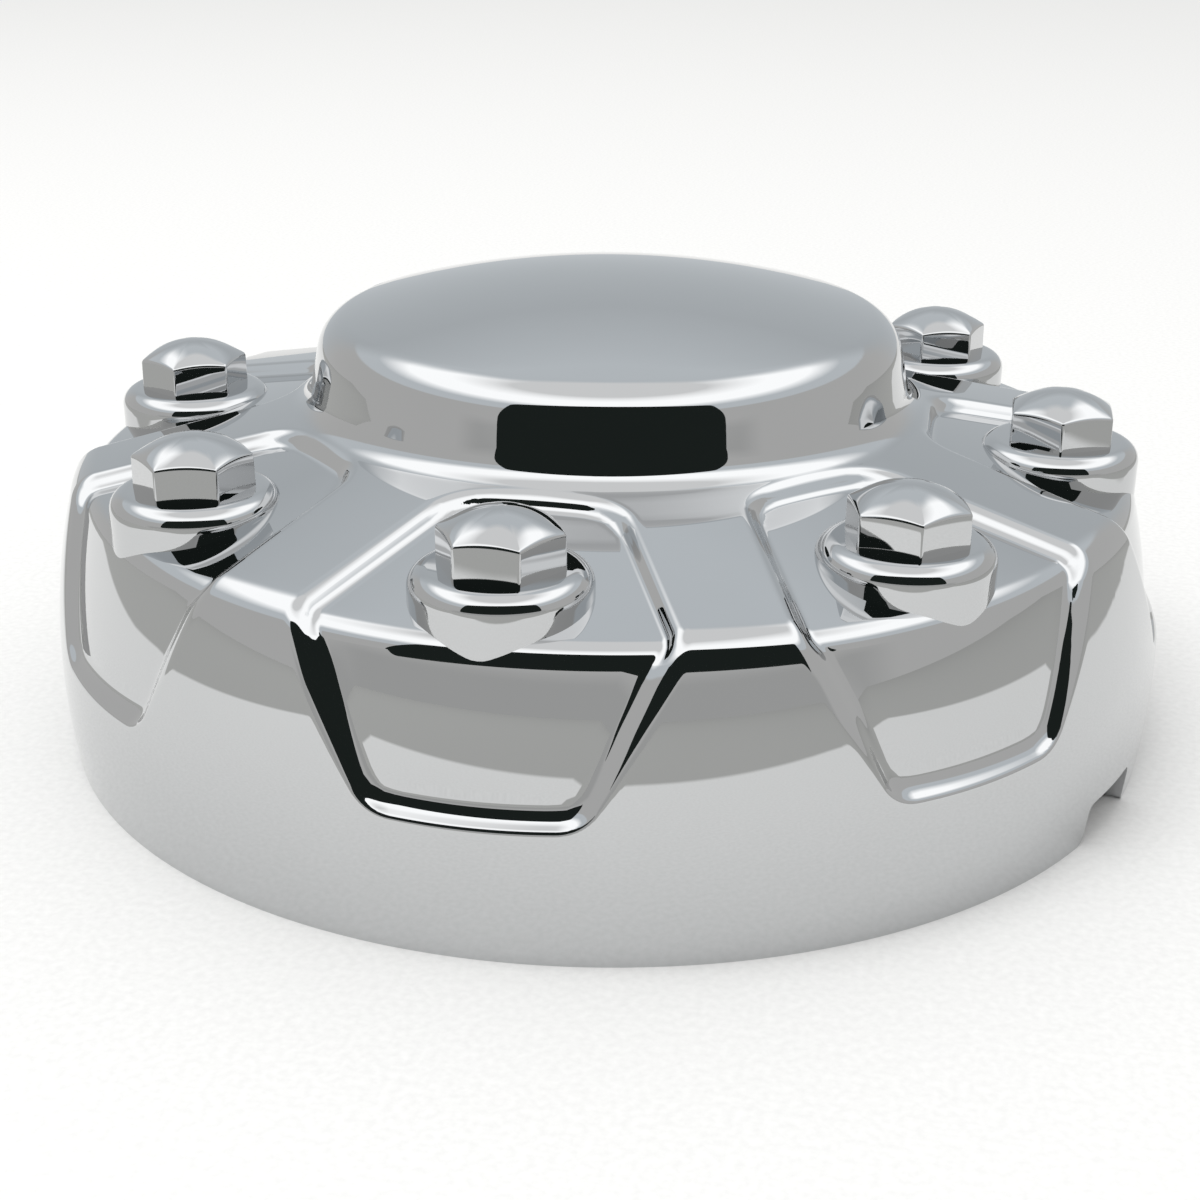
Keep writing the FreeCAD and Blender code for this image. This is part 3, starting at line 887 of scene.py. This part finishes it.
class CENTERCAP_OT_studio(bpy.types.Operator):
    """Builds the floor, the screens that the chrome reflects, the light and the camera"""

    bl_idname = "center_cap.studio"
    bl_label = "Studio"

    def execute(self, context):
        colours = context.scene.cap_colours
        self.floor(colours)
        self.screen(colours)
        self.panel(colours)
        self.sky(context.scene)
        self.lamp()
        self.camera(context.scene)
        context.scene.view_settings.view_transform = "Standard"
        return {"FINISHED"}

    def flat_stage(self, name, vertices, faces, material):
        """A stage mesh with one material."""
        mesh = bpy.data.meshes.new(name)
        mesh.from_pydata(vertices, [], faces)
        mesh.materials.append(material)
        piece = bpy.data.objects.new(name, mesh)
        bpy.context.scene.collection.objects.link(piece)
        return piece

    def floor(self, colours):
        """A broad floor with a faint grain: a pale sheet under and behind the cap on a greyer table.

        The sheet widens away from the camera's side. Beyond its edge the colour falls off softly.
        """
        reach, half, front, spread, edge = 9.0, 0.27, 0.25, 0.4, 0.012
        material, tree = own_material("studio_floor")
        point = node(tree, "ShaderNodeTexCoord", (-1400, 0)).outputs["Object"]
        grain = node(tree, "ShaderNodeTexNoise", (-600, 200), Vector=point, Scale=700.0, Detail=3.0)
        worn = [0.93 * value for value in colours.floor]
        pale = ramp(tree, (-350, 200), grain.outputs["Fac"], [(0.3, worn), (0.7, colours.floor)])
        nearer = reach_along(tree, (-1200, -100), point, (math.sin(SIGHT), -math.cos(SIGHT), 0.0))
        across = reach_along(tree, (-1200, -300), point, (math.cos(SIGHT), math.sin(SIGHT), 0.0))
        across = measure(tree, (-1000, -300), "ABSOLUTE", across)
        behind = measure(tree, (-1000, -100), "MINIMUM", nearer, 0.0)
        widened = measure(tree, (-850, -300), "MULTIPLY_ADD", behind, spread, across)
        past_side = measure(tree, (-700, -300), "SUBTRACT", widened, half)
        past_front = measure(tree, (-700, -100), "SUBTRACT", nearer, front)
        past = measure(tree, (-550, -200), "MAXIMUM", past_side, past_front)
        share = smooth_share(tree, (-350, -200), past, 0.0, edge)
        shader = tree.nodes["Principled BSDF"]
        shade = blend_colours(tree, (-150, 0), share, pale, (*colours.table, 1.0))
        feed(tree, shader.inputs["Base Color"], shade)
        feed(tree, shader.inputs["Roughness"], 0.9)
        feed(tree, shader.inputs["Specular IOR Level"], 0.0)
        corners = [(x * reach, y * reach, 0.0) for x, y in ((-1, -1), (1, -1), (1, 1), (-1, 1))]
        self.flat_stage("floor", corners, [(0, 1, 2, 3)], material)

    def screen(self, colours):
        """A round glowing screen wall that only reflections see; its glow is painted light that stands in
        for the lit room round the cap.

        Its colour follows the height in three ramps, one behind the camera, one at the sides and one
        beyond the cap, which are blended by the cosine of the bearing from the camera's side.
        """
        reach, tall, sides = 1.6, 4.4, 96
        material, tree, glow_colour = glow_material("studio_screen", 1.7)
        point = node(tree, "ShaderNodeTexCoord", (-900, 0)).outputs["Object"]
        ahead = (math.sin(SIGHT) / reach, -math.cos(SIGHT) / reach, 0.0)
        cosine = reach_along(tree, (-700, -250), point, ahead)
        rise = reach_along(tree, (-700, 50), point, (0.0, 0.0, 1 / tall))
        bright, sky = (1.0, 1.0, 1.0), (0.588, 0.588, 0.588)
        low, side = colours.low_screen, colours.side_screen
        far, high = colours.far_screen, colours.high_screen
        # Painted highlight: the white band from 46 to 57 degrees stands in for an overhead light that the
        # chrome reflects.
        above = [(28.5, high), (37.0, high), (46.0, bright), (57.0, bright), (70.0, sky)]
        beside = [(0.0, side), (27.0, side)] + above
        behind = [(0.0, low), (6.0, low), (9.0, side), (27.0, side)] + above
        beyond = [(0.0, far), (30.0, far), (46.0, high), (62.0, high), (70.0, sky)]
        shades = []
        for place, stops in zip((200, 0, -200), (beside, beyond, behind)):
            steps = [(reach * math.tan(math.radians(angle)) / tall, value) for angle, value in stops]
            shades.append(ramp(tree, (-400, place), rise, steps))
        shade = shades[0]
        for place, other, limits in zip((0, 250), shades[1:], ((130.0, 155.0), (58.0, 46.0))):
            start, end = [math.cos(math.radians(angle)) for angle in limits]
            share = smooth_share(tree, (place - 100, -250), cosine, start, end)
            shade = blend_colours(tree, (place, 0), share, shade, other)
        feed(tree, glow_colour, shade)
        around = np.linspace(0.0, 2 * math.pi, sides, endpoint=False)
        wall = np.vstack([polar(reach, around, mm(1.0)), polar(reach, around, tall)]).tolist()
        faces = grid_quads(2, sides).tolist()
        self.only_reflected(self.flat_stage("reflection_screen", wall, faces, material))

    def panel(self, colours):
        """A dark upright panel with rounded corners near the camera, which only reflections see."""
        half, low, high, corner, away, shift, count = 0.30, 0.085, 0.393, 0.03, 0.36, 0.01, 64
        material, tree, glow_colour = glow_material("studio_panel", 1.0)
        feed(tree, glow_colour, (*colours.dark_screen, 1.0))
        turn = (np.arange(count) + 0.5) * 2 * math.pi / count
        level, upright = np.cos(turn), np.sin(turn)
        across = shift + np.sign(level) * (half - corner) + corner * level
        rise = (low + high) / 2 + np.sign(upright) * ((high - low) / 2 - corner) + corner * upright
        right = np.array([math.cos(SIGHT), math.sin(SIGHT), 0.0])
        points = polar(away, np.array(SIGHT), 0.0) + across[:, None] * right
        points[:, 2] = rise
        self.only_reflected(self.flat_stage("dark_panel", points.tolist(), [list(range(count))], material))

    def only_reflected(self, piece):
        """Hides a stage piece from all rays but glossy ones."""
        piece.visible_camera = False
        piece.visible_diffuse = False
        piece.visible_shadow = False
        piece.visible_transmission = False

    def sky(self, scene):
        """White for what the camera and the chrome see, and a plain soft light for the rest."""
        world = bpy.data.worlds.new("studio_sky")
        world.use_nodes = True
        tree = world.node_tree
        tree.nodes.clear()
        white = (1.0, 1.0, 1.0, 1.0)
        rays = node(tree, "ShaderNodeLightPath", (-500, 200)).outputs
        share = measure(tree, (-250, 200), "MAXIMUM", rays["Is Camera Ray"], rays["Is Glossy Ray"])
        share = measure(tree, (-50, 200), "MAXIMUM", share, rays["Is Transmission Ray"])
        seen = node(tree, "ShaderNodeBackground", (100, 0), Color=white, Strength=1.0)
        soft = node(tree, "ShaderNodeBackground", (100, -150), Color=white, Strength=0.9)
        blend = node(tree, "ShaderNodeMixShader", (350, 0), Fac=share)
        feed(tree, blend.inputs[1], soft.outputs[0])
        feed(tree, blend.inputs[2], seen.outputs[0])
        node(tree, "ShaderNodeOutputWorld", (600, 0), Surface=blend.outputs[0])
        scene.world = world

    def lamp(self):
        """One broad overhead lamp that gives the floor its soft shadow."""
        light = bpy.data.lights.new("overhead_softbox", "AREA")
        light.shape = "DISK"
        light.size = 1.6
        light.energy = 18.0
        lamp = bpy.data.objects.new("overhead_softbox", light)
        lamp.visible_glossy = False
        lamp.location = (-0.5, -0.6, 2.0)
        lamp.rotation_euler = (-lamp.location).to_track_quat("-Z", "Y").to_euler()
        bpy.context.scene.collection.objects.link(lamp)

    def camera(self, scene):
        """The photograph's camera: its place, its slight turn and roll and its lens."""
        lens = bpy.data.cameras.new("photo_camera")
        lens.lens = 56.48
        lens.sensor_width = 36.0
        lens.clip_start = 0.01
        turn, drop, roll = math.radians(-0.26), math.radians(22.16), math.radians(0.30)
        level = math.cos(drop)
        ahead = Vector((math.sin(turn) * level, math.cos(turn) * level, -math.sin(drop)))
        right = Vector((math.cos(turn), -math.sin(turn), 0.0))
        up = right.cross(ahead)
        rolled = right * math.cos(roll) + up * math.sin(roll)
        upright = up * math.cos(roll) - right * math.sin(roll)
        axes = Matrix((rolled, upright, -ahead)).transposed()
        camera = bpy.data.objects.new("photo_camera", lens)
        camera.matrix_world = Matrix.Translation(EYE) @ (Matrix.Rotation(SIGHT, 3, "Z") @ axes).to_4x4()
        scene.collection.objects.link(camera)
        scene.camera = camera


class CENTERCAP_PT_panel(bpy.types.Panel):
    """Lists the cap's pieces, sizes and colours"""

    bl_idname = "CENTERCAP_PT_panel"
    bl_label = "Center Cap"
    bl_space_type = "VIEW_3D"
    bl_region_type = "UI"
    bl_category = "Center Cap"

    def draw(self, context):
        for step in PIECES:
            self.layout.operator(step.bl_idname)
        for group in (context.scene.cap_sizes, context.scene.nut_sizes, context.scene.cap_colours):
            box = self.layout.box()
            for name in group.__annotations__:
                box.prop(group, name)


GROUPS = (CapSizes, NutSizes, FinishColours)
PIECES = (
    CENTERCAP_OT_shell, CENTERCAP_OT_seats, CENTERCAP_OT_nuts, CENTERCAP_OT_ribs, CENTERCAP_OT_studio
)
CLASSES = GROUPS + PIECES + (CENTERCAP_PT_panel,)


def register():
    """Registers the classes and hangs the settings on the scene."""
    for made in CLASSES:
        bpy.utils.register_class(made)
    bpy.types.Scene.cap_sizes = PointerProperty(type=CapSizes)
    bpy.types.Scene.nut_sizes = PointerProperty(type=NutSizes)
    bpy.types.Scene.cap_colours = PointerProperty(type=FinishColours)


def unregister():
    """Takes the settings and the classes away again."""
    del bpy.types.Scene.cap_colours
    del bpy.types.Scene.nut_sizes
    del bpy.types.Scene.cap_sizes
    for made in reversed(CLASSES):
        bpy.utils.unregister_class(made)


def main():
    """Builds every piece and the studio."""
    register()
    bpy.ops.center_cap.shell()
    bpy.ops.center_cap.seats()
    bpy.ops.center_cap.nuts()
    bpy.ops.center_cap.ribs()
    bpy.ops.center_cap.studio()


if __name__ == "__main__":
    main()
